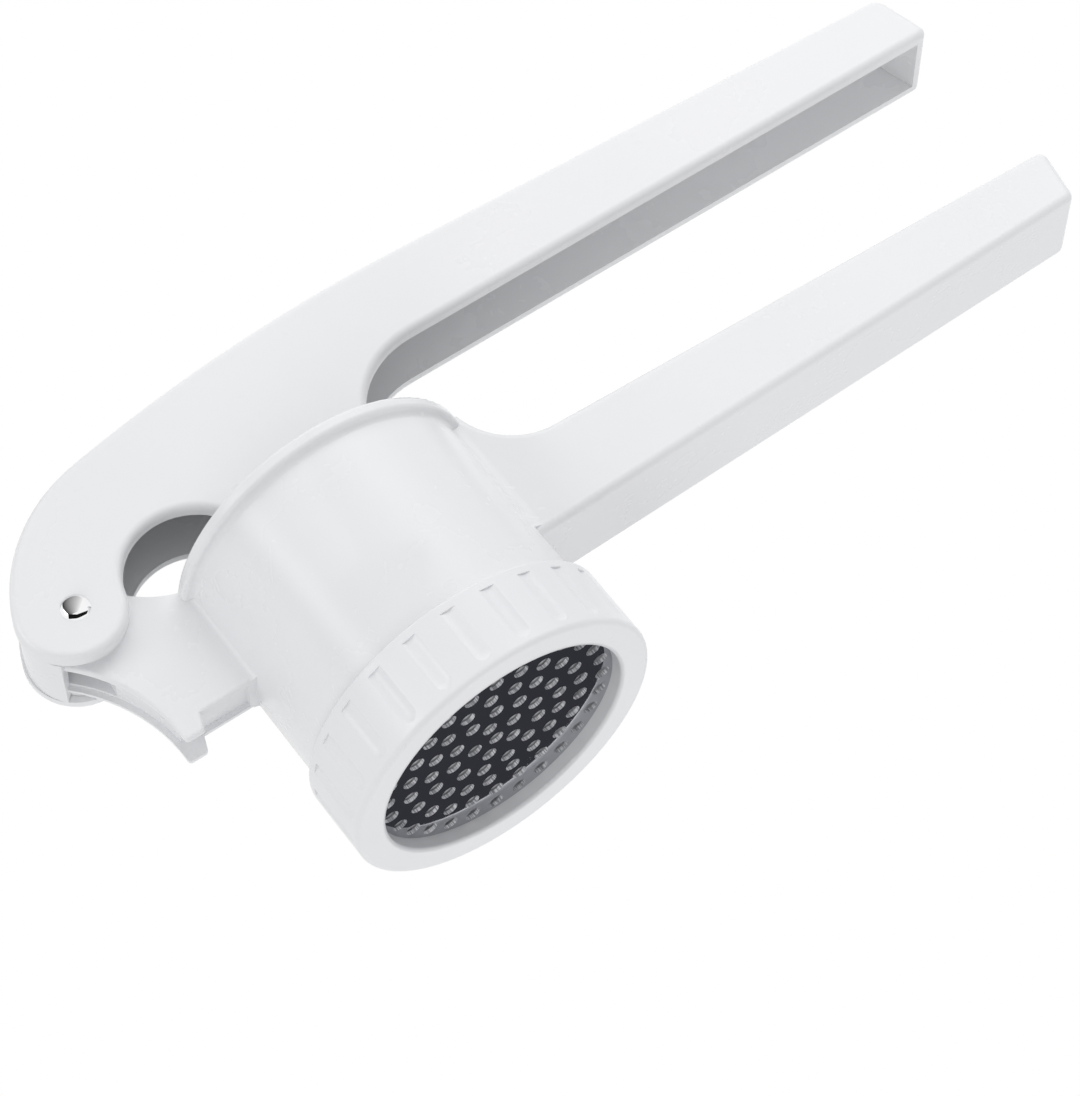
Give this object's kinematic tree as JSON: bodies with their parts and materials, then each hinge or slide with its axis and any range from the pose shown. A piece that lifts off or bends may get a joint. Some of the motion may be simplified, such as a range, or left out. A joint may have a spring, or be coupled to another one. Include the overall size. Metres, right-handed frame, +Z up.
{
  "type": "spaetzle maker",
  "caption": "White plastic spaetzle press: a hinged lever pushes a plunger into a cup, above a perforated steel sieve held by a screw ring.",
  "frame": {"origin": "centre of the ring nut's underside, on the cup's axis", "axes": "+Z up along the cup's axis, +X towards the ends of the two handles, the hinge lies on the -X side, the round pin heads face -Y"},
  "size_m": [0.2937, 0.085, 0.1305],
  "materials": {
    "white_plastic": "satin white, fine moulded surface",
    "sieve_steel": "polished sheet, almost a mirror",
    "pin_steel": "polished"
  },
  "bodies": {
    "press": {"press_body": "white_plastic"},
    "sieve": {"sieve_disc": "sieve_steel"},
    "screw_ring": {"ring_nut": "white_plastic"},
    "lever_arm": {"lever": "white_plastic", "hinge_pin": "pin_steel", "hinge_pin_cap": "pin_steel", "plunger_pin": "pin_steel", "plunger_pin_cap": "pin_steel"},
    "plunger_foot": {"plunger": "white_plastic"}
  },
  "joints": [
    {"name": "lever_hinge", "type": "hinge", "parent": "press", "child": "lever_arm", "pos_m": [-0.065, 0, 0.0863], "axis": [0, -1, 0], "range_deg": [0, 100]},
    {"name": "plunger_swing", "type": "hinge", "parent": "lever_arm", "child": "plunger_foot", "pos_m": [0.00115, 0, 0.051], "axis": [0, -1, 0], "range_deg": [-100, 0]},
    {"name": "sieve_drop", "type": "slide", "parent": "press", "child": "sieve", "axis": [0, 0, -1], "range_m": [0, 0.01]},
    {"name": "ring_turn", "type": "hinge", "parent": "sieve", "child": "screw_ring", "pos_m": [0, 0, 0.0105], "axis": [0, 0, -1], "range_deg": [0, 901]}
  ],
  "couplings": [
    {"joint": "plunger_swing", "follows": "lever_hinge", "ratio": -1},
    {"joint": "ring_turn", "follows": "sieve_drop", "rad_per_m": 1570.8}
  ]
}
